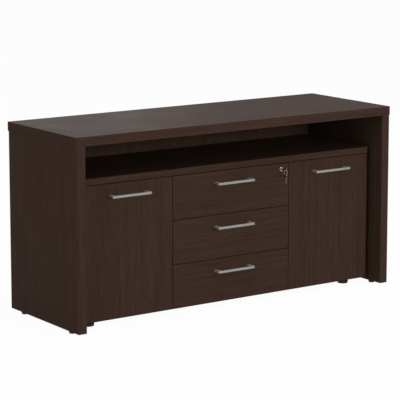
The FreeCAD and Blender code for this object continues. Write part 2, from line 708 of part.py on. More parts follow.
def channel(name, web, tip, nest, side, z):
    """One slide member: a channel whose web and flange tips lie at given distances from the bay's wall."""
    inward = 1 if number(tip) > number(web) else -1
    face = f"{web} + {inward} * {WALL}"
    outside = f"{FLANGE} - {nest} * {NEST}"
    inside = f"{outside} - {WALL}"
    body = new_body(name)
    rolled = padded(body, "XZ_Plane", [[
        (f"-({web})", f"-({outside})"), (f"-({tip})", f"-({outside})"), (f"-({tip})", f"-({inside})"),
        (f"-({face})", f"-({inside})"), (f"-({face})", inside), (f"-({tip})", inside),
        (f"-({tip})", outside), (f"-({web})", outside),
    ]], SLIDE_LENGTH, "One side", True)
    bends = ((f"sizes.slide_bend + {WALL}", web, outside), ("sizes.slide_bend", face, inside))
    for radius, x, height in bends:
        bend_x, bend_z = -number(x), number(height)
        rolled = round_edges(body, rolled, radius, lambda a, b: same(a.x, bend_x) and same(b.x, bend_x)
                             and same(a.z, b.z) and same(abs(a.z), bend_z))
    return place(body, signed(side, BAY), SLIDE_FRONT, z, (0, 1, 0), UPSIDE_DOWN[side])


# Drawers from the top down: front, box of four grooved boards, bottom, handle and slides
BOX_OUT = f"{BAY} - sizes.slide_thickness"
BOX_IN = f"{BOX_OUT} - sizes.box_board"
BOX_REAR = f"{BACK_FACE} - sizes.box_rear_gap"
BASE_EDGE = f"{BOX_IN} + sizes.groove_depth - sizes.bore_play"
LOCK_X = f"{DRAWER_EDGE} - sizes.lock_inset"
LOCK_Z = f"{FRONTS_TOP} - sizes.lock_drop"
outer_members = []
for index in range(DRAWER_COUNT):
    drawer = f"drawer_{index + 1}"
    top = f"{FRONTS_TOP} - {index} * {DRAWER_PITCH}"
    bottom = f"{top} - {DRAWER_PITCH} + sizes.front_gap"
    taps = handle(f"{drawer}_handle", "0", f"{top} - sizes.handle_drop",
                  "sizes.front_thickness + sizes.box_board")
    for tap in taps:
        bore_for(tap, f"{drawer}_front", f"{drawer}_box_ends")
    if index == 0:
        barrel_hole = rod("barrel_hole", "sizes.lock_barrel_diameter + sizes.bore_play",
                          "sizes.front_thickness", LOCK_X, FRONT_FACE, LOCK_Z, "y")
        bore_for(barrel_hole, f"{drawer}_front")
    face = block(f"{drawer}_face",
                 (f"-({DRAWER_EDGE})", DRAWER_EDGE), (FRONT_FACE, FRONT_BACK), (bottom, top))
    finish_board(f"{drawer}_front", eased(face, "sizes.front_round"))
    low = f"{bottom} + sizes.board_thickness + sizes.box_clearance"
    high = f"{top} - sizes.box_drop"
    seat = f"{low} + sizes.groove_rise"
    box_ends_y = ((FRONT_BACK, f"{FRONT_BACK} + sizes.box_board"),
                  (f"{BOX_REAR} - sizes.box_board", BOX_REAR))
    groove = block(
        f"{drawer}_groove", (f"-({BOX_IN} + sizes.groove_depth)", f"{BOX_IN} + sizes.groove_depth"),
        (f"{box_ends_y[0][1]} - sizes.groove_depth", f"{box_ends_y[1][0]} + sizes.groove_depth"),
        (seat, f"{seat} + sizes.bottom_thickness + sizes.bore_play"),
    )
    sides = [
        bored(f"{drawer}_side", block(f"{drawer}_side", across(side, BOX_IN, BOX_OUT), (FRONT_BACK, BOX_REAR),
                                      (low, high)), [groove])
        for side in SIDES.values()
    ]
    keep(f"{drawer}_box_sides", group(f"{drawer}_box_sides", sides))
    ends = [
        bored(f"{drawer}_end", block(f"{drawer}_end", (f"-({BOX_IN})", BOX_IN), y, (low, high)), [groove])
        for y in box_ends_y
    ]
    finish_board(f"{drawer}_box_ends", group(f"{drawer}_ends", ends))
    base = block(
        f"{drawer}_base",
        (f"-({BASE_EDGE})", BASE_EDGE),
        (f"{box_ends_y[0][1]} - sizes.groove_depth + sizes.bore_play",
         f"{box_ends_y[1][0]} + sizes.groove_depth - sizes.bore_play"),
        (seat, f"{seat} + sizes.bottom_thickness"),
    )
    keep(f"{drawer}_bottom", base)
    slide_z = f"{low} + sizes.slide_rise + {FLANGE}"
    middle_members, inner_members = [], []
    for side in SIDES.values():
        outer_members.append(channel(f"{drawer}_outer", "0", f"{SLIDE_TIP} - {WALL}", 0, side, slide_z))
        middle_members.append(channel(f"{drawer}_middle", "sizes.slide_step", SLIDE_TIP, 1, side, slide_z))
        inner_members.append(channel(f"{drawer}_inner", "sizes.slide_thickness",
                                     f"sizes.slide_step + 2 * {NEST}", 2, side, slide_z))
    keep(f"{drawer}_slide_middle", group(f"{drawer}_slide_middle", middle_members))
    keep(f"{drawer}_slide_inner", group(f"{drawer}_slide_inner", inner_members))
keep("slide_outer_members", group("slide_outer_members", outer_members))

# Cam lock in the top drawer's front: body, plug with its keyway, cam, and the strike that the cam catches
LOCK_DEPTH = "sizes.front_thickness + sizes.lock_tail"
PLUG_BORE = "sizes.plug_diameter / 2 + sizes.plug_play"
STEM = "sizes.plug_stem_diameter / 2"
barrel = "sizes.lock_barrel_diameter / 2"
rim = "sizes.lock_face_diameter / 2"
lock_body = new_body("lock_shell")
turned(lock_body, [
    (PLUG_BORE, "-sizes.lock_face_height"), (f"{rim} - sizes.lock_face_chamfer", "-sizes.lock_face_height"),
    (rim, "sizes.lock_face_chamfer - sizes.lock_face_height"), (rim, "0"), (barrel, "0"),
    (barrel, LOCK_DEPTH), (PLUG_BORE, LOCK_DEPTH),
], "XY_Plane")
keep("lock_body", place(lock_body, LOCK_X, FRONT_FACE, LOCK_Z))
plug_form = new_body("plug_form")
plug_end = f"{LOCK_DEPTH} + sizes.cam_thickness"
turned(plug_form, [
    ("0", "-sizes.lock_face_height"), ("sizes.plug_diameter / 2", "-sizes.lock_face_height"),
    ("sizes.plug_diameter / 2", LOCK_DEPTH), (STEM, LOCK_DEPTH), (STEM, plug_end), ("0", plug_end),
], "XY_Plane")
place(plug_form, LOCK_X, FRONT_FACE, LOCK_Z)
slot_half = "(sizes.key_thickness + sizes.keyway_play) / 2"
slot_tall = "(sizes.key_blade_width + sizes.keyway_play) / 2"
keyway = block("keyway", (f"{LOCK_X} - {slot_half}", f"{LOCK_X} + {slot_half}"),
               (f"{FRONT_FACE} - sizes.lock_face_height",
                f"{FRONT_FACE} + sizes.key_entry + sizes.keyway_play"),
               (f"{LOCK_Z} - {slot_tall}", f"{LOCK_Z} + {slot_tall}"))
keep("lock_plug", bored("lock_plug", plug_form, [keyway]))
cam_form = new_body("cam_form")
cam_half = "sizes.cam_width / 2"
cam_outline = rectangle(("-sizes.cam_reach", cam_half), (f"-{cam_half}", cam_half))
cam_pad = padded(cam_form, "XZ_Plane", [cam_outline], "sizes.cam_thickness", "One side", True)
round_edges(cam_form, cam_pad, "sizes.cam_round", lambda a, b: same(a.x, b.x) and same(a.z, b.z))
place(cam_form, LOCK_X, f"{FRONT_FACE} + {LOCK_DEPTH}", LOCK_Z)
stem_hole = rod("stem_hole", "sizes.plug_stem_diameter + sizes.bore_play", "sizes.cam_thickness",
                LOCK_X, f"{FRONT_FACE} + {LOCK_DEPTH}", LOCK_Z, "y")
keep("lock_cam", bored("lock_cam", cam_form, [stem_hole]))
strike = new_body("strike")
sheet_metal = "sizes.strike_thickness"
bent_strip = padded(strike, "YZ_Plane", [[
    ("0", "0"), ("sizes.strike_flange", "0"), ("sizes.strike_flange", f"-{sheet_metal}"),
    (sheet_metal, f"-{sheet_metal}"), (sheet_metal, "-sizes.strike_drop"), ("0", "-sizes.strike_drop"),
]], "sizes.strike_width")
for radius, corner in ((f"sizes.strike_bend + {sheet_metal}", 0), ("sizes.strike_bend", number(sheet_metal))):
    bent_strip = round_edges(strike, bent_strip, radius, lambda a, b: same(a.y, corner) and same(b.y, corner)
                             and same(a.z, -corner) and same(b.z, -corner))
keep("lock_strike", place(strike, LOCK_X, CARCASS_FRONT, SHELF_UNDER))

# Flat keys: one in the lock, and a spare that hangs from a ring through the first one's bow
BOW_START = "-sizes.lock_face_height - sizes.key_stem"
BOW_END = f"{BOW_START} - sizes.key_bow_length"
KEY_HOLE = f"{BOW_END} + sizes.key_hole_inset"
RING_SAG = "(sizes.key_hole_diameter - sizes.ring_wire) / 2 - sizes.ring_play"
KEY_CUTS = 3


def pocketed(body, sketch, length):
    """Cuts a sketch's outlines out of a body, to both sides of the sketch."""
    pocket = body.newObject("PartDesign::Pocket", f"{sketch.Name}_pocket")
    pocket.Profile = sketch
    pocket.SideType = "Symmetric"
    pocket.setExpression("Length", length)


def flat_key(name, x, y, z, angle):
    """A key cut from flat stock: grooved blade with cuts along +Y, bow along -Y, and a hole for the ring."""
    body = new_body(name)
    blade = "sizes.key_blade_width / 2"
    bow = "sizes.key_bow_width / 2"
    tip = "sizes.key_entry"
    outline = [
        (f"{tip} - sizes.key_tip", f"-{blade}"), (tip, f"sizes.key_tip - {blade}"),
        (tip, f"{blade} - sizes.key_tip"), (f"{tip} - sizes.key_tip", blade),
    ]
    for cut in range(1, KEY_CUTS + 1):
        middle = f"{tip} - sizes.key_tip - ({cut} - 1 / 2) * sizes.key_cut_pitch"
        outline += [(f"{middle} + sizes.key_cut_slope", blade), (middle, f"{blade} - sizes.key_cut_{cut}"),
                    (f"{middle} - sizes.key_cut_slope", blade)]
    outline += [(BOW_START, blade), (BOW_START, bow), (BOW_END, bow), (BOW_END, f"-{bow}"),
                (BOW_START, f"-{bow}"), (BOW_START, f"-{blade}")]
    pad = padded(body, "YZ_Plane", [outline], "sizes.key_thickness")
    bow_edge = number(bow)
    round_edges(body, pad, "sizes.key_bow_round",
                lambda a, b: same(a.y, b.y) and same(a.z, b.z) and same(abs(a.z), bow_edge))
    hole = sketch_on(body, "YZ_Plane", f"{name}_hole")
    hole.addGeometry(Part.Circle(FreeCAD.Vector(number(KEY_HOLE), 0, 0), FreeCAD.Vector(0, 0, 1),
                                 number("sizes.key_hole_diameter") / 2))
    fix_point(hole, 0, 3, KEY_HOLE, "0")
    width = hole.addConstraint(Sketcher.Constraint("Diameter", 0, number("sizes.key_hole_diameter")))
    hole.setExpression(f"Constraints[{width}]", "sizes.key_hole_diameter")
    pocketed(body, hole, "sizes.key_thickness * 2")
    groove = sketch_on(body, "XZ_Plane", f"{name}_groove")
    for face in SIDES.values():
        skin = f"{face} * sizes.key_thickness / 2"
        add_outline(groove, rectangle(
            (f"{skin} - sizes.key_groove_depth", f"{skin} + sizes.key_groove_depth"),
            ("-sizes.key_groove_drop - sizes.key_groove_width", "-sizes.key_groove_drop"),
        ))
    pocketed(body, groove, "2 * (sizes.lock_face_height + sizes.key_stem - sizes.key_groove_end)")
    return place(body, x, y, z, (1, 0, 0), angle)


keep("lock_key", flat_key("key", LOCK_X, FRONT_FACE, LOCK_Z, 0))
ring_y = f"{FRONT_FACE} + {KEY_HOLE}"
ring_z = f"{LOCK_Z} - ({RING_SAG}) - sizes.ring_radius"
ring = doc.addObject("Part::Torus", "ring")
ring.setExpression("Radius1", "sizes.ring_radius")
ring.setExpression("Radius2", "sizes.ring_wire / 2")
keep("key_ring", place(ring, LOCK_X, ring_y, ring_z, (1, 0, 0), 90))
spare_z = f"{ring_z} - sizes.ring_radius - ({RING_SAG}) + {KEY_HOLE}"
keep("spare_key", flat_key("spare", LOCK_X, ring_y, spare_z, -90))

# Every object is checked before any sub-part is written
doc.recompute()
failed = [thing.Name for thing in doc.Objects if {"Invalid", "Error"} & set(thing.State)]
unsound = [label for label, solid in parts.items() if solid.Shape.isNull() or not solid.Shape.isValid()]
if failed or unsound or bores:
    raise RuntimeError(f"failed: {failed}, unsound: {unsound}, boards never finished: {list(bores)}")
os.makedirs("parts", exist_ok=True)
for label, solid in parts.items():
    solid.Shape.exportStep(f"parts/{label}.step")
print(len(parts), "sub-parts,", sum(len(solid.Shape.Solids) for solid in parts.values()), "solids")
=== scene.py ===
"""Looks of a low dark cabinet: a thick bridge round an inner cabinet with two doors and three drawers."""
import math

import bmesh
import bpy
from mathutils import Matrix, Vector


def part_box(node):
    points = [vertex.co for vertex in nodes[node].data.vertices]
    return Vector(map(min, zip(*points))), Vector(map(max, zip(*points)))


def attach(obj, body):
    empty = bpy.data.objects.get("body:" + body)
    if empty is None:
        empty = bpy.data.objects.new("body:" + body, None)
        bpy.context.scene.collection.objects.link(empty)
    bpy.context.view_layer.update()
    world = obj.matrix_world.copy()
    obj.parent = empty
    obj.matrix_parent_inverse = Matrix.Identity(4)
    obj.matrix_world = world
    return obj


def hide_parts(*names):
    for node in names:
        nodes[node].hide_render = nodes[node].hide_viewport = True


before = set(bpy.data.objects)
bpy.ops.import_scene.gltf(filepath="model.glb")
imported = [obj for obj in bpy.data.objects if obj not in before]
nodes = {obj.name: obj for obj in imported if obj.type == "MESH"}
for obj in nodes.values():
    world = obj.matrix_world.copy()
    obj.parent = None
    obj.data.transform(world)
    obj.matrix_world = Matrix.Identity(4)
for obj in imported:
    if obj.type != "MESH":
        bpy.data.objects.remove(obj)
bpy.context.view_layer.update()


# Bridge: a thick top on two thick side panels, with a full-height back between them.
# Chipboard faced with dark wood-grain laminate, its edges banded with the same decor.
# The top lies on the panels and is dowelled to them.
class Shade:
    """A shader socket for use in sums: each operator adds a Math node to the socket's material."""

    def __init__(self, tree, socket=None):
        self.tree = tree
        self.socket = socket

    def node(self, kind, settings=None, inputs=None, output=0):
        """Adds a node of any type, sets it up, feeds its sockets and gives one of its outputs."""
        made = self.tree.nodes.new(kind)
        for name, value in (settings or {}).items():
            setattr(made, name, value)
        for name, value in (inputs or {}).items():
            if isinstance(value, Shade):
                self.tree.links.new(value.socket, made.inputs[name])
            else:
                made.inputs[name].default_value = value
        return Shade(self.tree, made.outputs[output])

    def math(self, operation, *values):
        return self.node("ShaderNodeMath", {"operation": operation}, dict(enumerate(values)))

    def __add__(self, other):
        return self.math("ADD", self, other)

    def __sub__(self, other):
        return self.math("SUBTRACT", self, other)

    def __rsub__(self, other):
        return self.math("SUBTRACT", other, self)

    def __mul__(self, other):
        return self.math("MULTIPLY", self, other)

    def __abs__(self):
        return self.math("ABSOLUTE", self)

    __radd__ = __add__
    __rmul__ = __mul__

    def least(self, other):
        return self.math("MINIMUM", self, other)

    def most(self, other):
        return self.math("MAXIMUM", self, other)

    def ramp(self, start, end):
        """Rises softly from 0 at the start to 1 at the end."""
        return self.node("ShaderNodeMapRange", {"interpolation_type": "SMOOTHSTEP"},
                         {"Value": self, "From Min": start, "From Max": end})

    def noise(self, scale, detail=2.0):
        return self.node("ShaderNodeTexNoise", None, {"Vector": self, "Scale": scale, "Detail": detail})

    def stretched(self, scale, shift=(0.0, 0.0, 0.0)):
        return self.node("ShaderNodeMapping", None, {"Vector": self, "Scale": scale, "Location": shift})

    def between(self, first, second):
        """A colour mixed from two by this factor."""
        return self.node("ShaderNodeMix", {"data_type": "RGBA"}, {0: self, 6: first, 7: second}, 2)

    def bump(self, strength, distance):
        return self.node("ShaderNodeBump", None, {"Height": self, "Strength": strength, "Distance": distance})


def new_finish(name, **constants):
    """A material with its constant values set: gives it, its shader and the place on the piece."""
    material = bpy.data.materials.new(name)
    material.use_nodes = True
    shader = material.node_tree.nodes["Principled BSDF"]
    for socket, value in constants.items():
        shader.inputs[socket.replace("_", " ")].default_value = value
    place = Shade(material.node_tree).node("ShaderNodeTexCoord", output=3)
    return material, shader, place


def feed(shader, **links):
    """Links values that vary over the surface to a shader's sockets."""
    for socket, value in links.items():
        value.tree.links.new(value.socket, shader.inputs[socket.replace("_", " ")])


def paint(material, *names):
    """Gives CAD pieces a finish."""
    for name in names:
        nodes[name].data.materials.clear()
        nodes[name].data.materials.append(material)


WENGE_DARK = (0.0258, 0.0138, 0.0100, 1.0)
WENGE_MID = (0.0450, 0.0254, 0.0191, 1.0)
WENGE_LIGHT = (0.0655, 0.0392, 0.0303, 1.0)
WENGE_PORE = (0.0108, 0.0058, 0.0045, 1.0)
BAND = 0.0010
SEAM = 0.00014
WEAR_START, WEAR_END = 0.0002, 0.0022
BAND_SCALE, STREAK_SCALE, PORE_SCALE = 52.0, 420.0, 1500.0
ALONG = {"x": (0.022, 1.0, 1.0), "y": (1.0, 0.022, 1.0), "z": (1.0, 1.0, 0.022)}


def wenge(name, grain):
    """Dark laminate of one board, with its grain along an axis and a fine seam where its edge band ends."""
    low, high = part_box(name)
    half = (high - low) / 2
    middle = (high + low) / 2
    thin = min(range(3), key=lambda axis: half[axis])
    material, shader, place = new_finish(f"wenge_{name}", Specular_IOR_Level=0.0090)
    sheet = place.stretched(ALONG[grain], tuple(middle * 7.3))
    bands = sheet.noise(BAND_SCALE, 3.0)
    streaks = sheet.noise(STREAK_SCALE, 3.0)
    pores = sheet.noise(PORE_SCALE, 1.0).ramp(0.60, 0.70)
    tone = bands * 0.27 + streaks * 0.50 + 0.115
    colour = tone.ramp(0.25, 0.62).between(WENGE_DARK, WENGE_MID)
    colour = (tone.ramp(0.50, 0.85) * 0.7).between(colour, WENGE_LIGHT)
    colour = (pores * 0.55).between(colour, WENGE_PORE)
    away = [
        half[axis] - abs(place.node("ShaderNodeSeparateXYZ", None, {"Vector": place}, axis) - middle[axis])
        for axis in range(3)
    ]
    first, second = [away[axis] for axis in range(3) if axis != thin]
    seam = 1 - abs(first.least(second) - BAND).ramp(0.0, SEAM)
    edge = first.least(second).most(first.most(second).least(away[thin]))
    rubbed = (1 - edge.ramp(WEAR_START, WEAR_END)) * place.noise(95.0, 3.0).ramp(0.42, 0.68)
    colour = (rubbed * 0.30).between(colour, WENGE_LIGHT)
    colour = (seam * 0.75).between(colour, WENGE_PORE)
    smears = place.noise(5.5, 3.0)
    feed(shader, Base_Color=colour, Roughness=0.36 + streaks * 0.10 + smears * 0.10 + pores * 0.06,
         Normal=(0 - pores - seam * 0.8 + streaks * 0.35).bump(0.22, 0.0002))
    paint(material, name)


for board, grain in {
    "top_slab": "x", "left_side_panel": "z", "right_side_panel": "z", "back_panel": "z",
}.items():
    wenge(board, grain)


# Dowels between the boards: plain beech pegs, glued half in each board.
# They only show when the cabinet is taken apart.
BEECH_DARK = (0.42, 0.27, 0.15, 1.0)
BEECH_LIGHT = (0.66, 0.47, 0.29, 1.0)
beech, shader, place = new_finish("beech", Specular_IOR_Level=0.3)
fibres = place.stretched(ALONG["z"]).noise(900.0, 3.0)
feed(shader, Base_Color=fibres.ramp(0.3, 0.7).between(BEECH_DARK, BEECH_LIGHT), Roughness=0.55 + fibres * 0.2,
     Normal=fibres.bump(0.3, 0.0003))
paint(beech, "dowels")


# Wood screws through the back and the floor board into the uprights.
# Zinc-plated pan heads with a cross recess, driven down to the board.
def fresh(add, **options):
    """Adds a primitive with nothing else selected, its scale and turn applied."""
    bpy.ops.object.select_all(action="DESELECT")
    add(**options)
    bpy.ops.object.transform_apply(location=True, rotation=True, scale=True)
    return bpy.context.active_object


def shape(piece):
    """Opens a piece for shaping."""
    bpy.ops.object.select_all(action="DESELECT")
    piece.select_set(True)
    bpy.context.view_layer.objects.active = piece
    bpy.ops.object.mode_set(mode="EDIT")


def done():
    bpy.ops.object.mode_set(mode="OBJECT")


def pick(kind, wanted):
    """Selects the faces, edges or points of the open piece that pass a test."""
    bpy.ops.mesh.select_mode(type=kind)
    bpy.ops.mesh.select_all(action="DESELECT")
    mesh = bmesh.from_edit_mesh(bpy.context.object.data)
    for item in {"VERT": mesh.verts, "EDGE": mesh.edges, "FACE": mesh.faces}[kind]:
        if wanted(item):
            item.select_set(True)
    mesh.select_flush_mode()
    bmesh.update_edit_mesh(bpy.context.object.data)


def middle_of(edge):
    return (edge.verts[0].co + edge.verts[1].co) / 2


CORNER_ANGLE = math.radians(40)
SMOOTH_ANGLE = math.radians(35)


def sharp(edge):
    """Whether an edge turns a corner."""
    return len(edge.link_faces) == 2 and edge.calc_face_angle() > CORNER_ANGLE


def drawn_up(centre, steps):
    """Draws the picked face of a turned piece upwards in steps of rise and change of width."""
    height = centre.z
    for rise, widening in steps:
        height += rise
        bpy.ops.mesh.extrude_region_move(TRANSFORM_OT_translate={"value": (0, 0, rise)})
        bpy.ops.transform.resize(value=(widening, widening, 1), center_override=(centre.x, centre.y, height))


def cut_with(piece, cutter):
    """Takes the shape of the cutter out of a piece and removes the cutter."""
    bpy.context.view_layer.objects.active = piece
    cut = piece.modifiers.new("cut", "BOOLEAN")
    cut.operation = "DIFFERENCE"
    cut.solver = "EXACT"
    cut.object = cutter
    bpy.ops.object.modifier_apply(modifier=cut.name)
    bpy.data.objects.remove(cutter)


def joined(pieces, name):
    """Makes one object of several pieces."""
    bpy.ops.object.select_all(action="DESELECT")
    for piece in pieces:
        piece.select_set(True)
    bpy.context.view_layer.objects.active = pieces[0]
    if len(pieces) > 1:
        bpy.ops.object.join()
    pieces[0].name = name
    return pieces[0]


def copied(piece, place):
    """A copy of a piece with its own mesh, moved by a matrix."""
    copy = piece.copy()
    copy.data = piece.data.copy()
    bpy.context.collection.objects.link(copy)
    bpy.ops.object.select_all(action="DESELECT")
    copy.select_set(True)
    bpy.context.view_layer.objects.active = copy
    copy.matrix_world = place
    bpy.ops.object.transform_apply(location=True, rotation=True, scale=True)
    return copy


def solids(name):
    """Lowest and highest corner of each separate solid of a CAD piece."""
    mesh = bmesh.new()
    mesh.from_mesh(nodes[name].data)
    bmesh.ops.remove_doubles(mesh, verts=mesh.verts, dist=1e-6)
    waiting = set(mesh.verts)
    boxes = []
    while waiting:
        front = [waiting.pop()]
        low, high = front[0].co.copy(), front[0].co.copy()
        while front:
            point = front.pop()
            low = Vector(map(min, low, point.co))
            high = Vector(map(max, high, point.co))
            near = {edge.other_vert(point) for edge in point.link_edges} & waiting
            waiting -= near
            front.extend(near)
        boxes.append((low, high))
    mesh.free()
    return sorted(boxes, key=lambda box: tuple(round(value, 5) for value in (*box[0], *box[1])))


def dress(piece, material, body, slot, *replaced):
    """Finishes a new piece: smooth shading, its material, the body it rides on and what it stands for."""
    bpy.ops.object.select_all(action="DESELECT")
    piece.select_set(True)
    bpy.context.view_layer.objects.active = piece
    bpy.ops.object.shade_smooth_by_angle(angle=SMOOTH_ANGLE)
    piece.data.materials.clear()
    piece.data.materials.append(material)
    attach(piece, body)
    if replaced:
        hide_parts(*replaced)


HEAD_RIM = 0.45
HEAD_DOME = ((0.30, 0.90), (0.18, 0.72), (0.07, 0.55))
SCREW_TIP = 0.2
TIP_WIDTH = 0.25
SLOT_WIDTH = 0.22
SLOT_FLOOR = 0.32


def pan_screw(shank, length, head, height):
    """A screw with its head's seat at the origin and its tip along -Z.

    Takes the radius of the shank, the length, the radius of the head and the height of the head.
    """
    screw = fresh(bpy.ops.mesh.primitive_cylinder_add, vertices=24, radius=head, depth=height * HEAD_RIM,
                  location=(0, 0, height * HEAD_RIM / 2))
    shape(screw)
    pick("FACE", lambda face: face.normal.z > 0.9)
    drawn_up(Vector((0, 0, height * HEAD_RIM)), [(height * rise, width) for rise, width in HEAD_DOME])
    pick("FACE", lambda face: face.normal.z < -0.9)
    bpy.ops.mesh.inset(thickness=head - shank)
    bpy.ops.mesh.extrude_region_move(TRANSFORM_OT_translate={"value": (0, 0, -length * (1 - SCREW_TIP))})
    bpy.ops.mesh.extrude_region_move(TRANSFORM_OT_translate={"value": (0, 0, -length * SCREW_TIP)})
    bpy.ops.transform.resize(value=(TIP_WIDTH, TIP_WIDTH, 1), center_override=(0, 0, -length))
    done()
    wing = head * 1.1
    slots = [
        fresh(bpy.ops.mesh.primitive_cube_add, size=1, location=(0, 0, height * 0.72),
              scale=(long, wide, height * 0.8))
        for long, wide in ((wing, head * SLOT_WIDTH), (head * SLOT_WIDTH, wing))
    ]
    for slot in slots:
        shape(slot)
        pick("FACE", lambda face: face.normal.z < -0.9)
        bpy.ops.transform.resize(value=(0.55, 0.55, 1), center_override=(0, 0, height * SLOT_FLOOR))
        done()
    for slot in slots:
        cut_with(screw, slot)
    return screw


def driven(screw, spots, name):
    """Copies of a screw with their heads at given spots and facing given ways, as one object."""
    copies = [
        copied(screw, Matrix.Translation(spot) @ Vector(way).to_track_quat("Z", "Y").to_matrix().to_4x4())
        for spot, way in spots
    ]
    return joined(copies, name)


ZINC_DARK = (0.38, 0.385, 0.395, 1.0)
ZINC_LIGHT = (0.50, 0.505, 0.515, 1.0)
zinc, shader, place = new_finish("zinc_plate", Metallic=1.0)
spangle = place.noise(260.0, 3.0)
grime = place.noise(38.0, 2.0)
feed(shader, Base_Color=spangle.ramp(0.3, 0.7).between(ZINC_DARK, ZINC_LIGHT), Roughness=0.26 + grime * 0.24,
     Normal=spangle.bump(0.08, 0.0002))

wood_screw_boxes = solids("assembly_screws")
HEAD_HEIGHT = 0.0018
HEAD_RADIUS = 0.0045
WOOD_SHANK = 0.0024
spots = []
for low, high in wood_screw_boxes:
    centre = (low + high) / 2
    if high.y - low.y > high.z - low.z:
        spots.append(((centre.x, high.y - HEAD_HEIGHT, centre.z), (0, 1, 0)))
    else:
        spots.append(((centre.x, centre.y, low.z + HEAD_HEIGHT), (0, 0, -1)))
low, high = wood_screw_boxes[0]
wood_screw = pan_screw(WOOD_SHANK, max(high - low) - HEAD_HEIGHT, HEAD_RADIUS, HEAD_HEIGHT)
dress(driven(wood_screw, spots, "wood_screws"), zinc, "carcass", "zinc_steel", "assembly_screws")
bpy.data.objects.remove(wood_screw)


# Glides under the side panels: turned black plastic buttons, each with a stem pushed into the panel's edge.
# The sole is chamfered so that the cabinet can be slid.
PLASTIC_DARK = (0.006, 0.006, 0.0065, 1.0)
PLASTIC_WORN = (0.022, 0.0215, 0.021, 1.0)
plastic, shader, place = new_finish("moulded_plastic", Specular_IOR_Level=0.25)
stipple = place.noise(1400.0, 2.0)
scuffs = place.noise(120.0, 4.0).ramp(0.52, 0.75)
feed(shader, Base_Color=scuffs.between(PLASTIC_DARK, PLASTIC_WORN),
     Roughness=0.46 + stipple * 0.16 + scuffs * 0.12, Normal=stipple.bump(0.25, 0.00015))


def standing(model, boxes, name):
    """Copies of a turned piece, standing where the CAD solids stand."""
    spots = [((low.x + high.x) / 2, (low.y + high.y) / 2, low.z) for low, high in boxes]
    return joined([copied(model, Matrix.Translation(spot)) for spot in spots], name)


glide_boxes = solids("panel_glides")
GLIDE_RADIUS = (glide_boxes[0][1].x - glide_boxes[0][0].x) / 2
GLIDE_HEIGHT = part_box("left_side_panel")[0].z
GLIDE_STEM = glide_boxes[0][1].z - GLIDE_HEIGHT
STEM_RADIUS = 0.0030
SOLE_CHAMFER = 0.0026
CHAMFER_ROUND = 0.0005
RIM_ROUND = 0.0008
SOLE_RIM = 0.005
SOLE_HOLLOW = 0.0016
glide = fresh(bpy.ops.mesh.primitive_cylinder_add, vertices=40, radius=GLIDE_RADIUS, depth=GLIDE_HEIGHT,
              location=(0, 0, GLIDE_HEIGHT / 2))
shape(glide)
pick("EDGE", lambda edge: sharp(edge) and middle_of(edge).z < 0.001)
bpy.ops.mesh.bevel(offset=SOLE_CHAMFER, segments=1)
pick("EDGE", lambda edge: sharp(edge) and middle_of(edge).z < GLIDE_HEIGHT / 2)
bpy.ops.mesh.bevel(offset=CHAMFER_ROUND, segments=2)
pick("EDGE", lambda edge: sharp(edge) and middle_of(edge).z > GLIDE_HEIGHT - 0.001)
bpy.ops.mesh.bevel(offset=RIM_ROUND, segments=2)
pick("FACE", lambda face: face.normal.z > 0.999)
bpy.ops.mesh.inset(thickness=GLIDE_RADIUS - RIM_ROUND - STEM_RADIUS)
bpy.ops.mesh.extrude_region_move(TRANSFORM_OT_translate={"value": (0, 0, GLIDE_STEM)})
pick("FACE", lambda face: face.normal.z < -0.999)
bpy.ops.mesh.inset(thickness=SOLE_RIM)
bpy.ops.mesh.extrude_region_move(TRANSFORM_OT_translate={"value": (0, 0, SOLE_HOLLOW)})
bpy.ops.transform.resize(value=(0.85, 0.85, 1), center_override=(0, 0, SOLE_HOLLOW))
done()
dress(standing(glide, glide_boxes, "glides"), plastic, "carcass", "foot_plastic", "panel_glides")
bpy.data.objects.remove(glide)


# Inner cabinet: niche shelf, floor, two sides, two dividers and a loose shelf, of thinner laminated board.
# It stands inside the bridge, clear of the side panels, and is screwed to the back.
for board, grain in {
    "niche_shelf": "x", "cabinet_floor": "x", "cabinet_left_side": "z", "cabinet_right_side": "z",
    "left_divider": "z", "right_divider": "z", "inner_shelf": "x",
}.items():
    wenge(board, grain)


# Feet under the inner cabinet: moulded black plastic, a broad base and a ribbed neck below a fixing plate.
# The plate lies flat against the underside of the floor board.
foot_boxes = solids("cabinet_feet")
FOOT_RADIUS = (foot_boxes[0][1].x - foot_boxes[0][0].x) / 2
FOOT_HEIGHT = foot_boxes[0][1].z - foot_boxes[0][0].z
FOOT_BASE = 0.011
FOOT_NECK = 0.014
FOOT_PLATE = 0.022
PLATE_HEIGHT = 0.004
FOOT_TAPER = 0.0044
FOOT_CHAMFER = 0.0023
FOOT_ROUND = 0.0011
FOOT_RIM = 0.004
FOOT_HOLLOW = 0.002
foot = fresh(bpy.ops.mesh.primitive_cylinder_add, vertices=48, radius=FOOT_RADIUS, depth=FOOT_BASE,
             location=(0, 0, FOOT_BASE / 2))
shape(foot)
pick("FACE", lambda face: face.normal.z > 0.9)
drawn_up(Vector((0, 0, FOOT_BASE)), [
    (FOOT_TAPER, FOOT_NECK / FOOT_RADIUS), (FOOT_HEIGHT - PLATE_HEIGHT - FOOT_BASE - FOOT_TAPER, 1.0),
    (0.0, FOOT_PLATE / FOOT_NECK), (PLATE_HEIGHT, 1.0),
])
pick("EDGE", lambda edge: sharp(edge) and middle_of(edge).z < 0.001)
bpy.ops.mesh.bevel(offset=FOOT_CHAMFER, segments=1)
pick("EDGE", lambda edge: sharp(edge) and middle_of(edge).xy.length > FOOT_PLATE * 0.85)
bpy.ops.mesh.bevel(offset=FOOT_ROUND, segments=3)
pick("FACE", lambda face: face.normal.z < -0.999 and face.calc_center_median().z < 0.0005)
bpy.ops.mesh.inset(thickness=FOOT_RIM)
bpy.ops.mesh.extrude_region_move(TRANSFORM_OT_translate={"value": (0, 0, FOOT_HOLLOW)})
done()
RIBS = 8
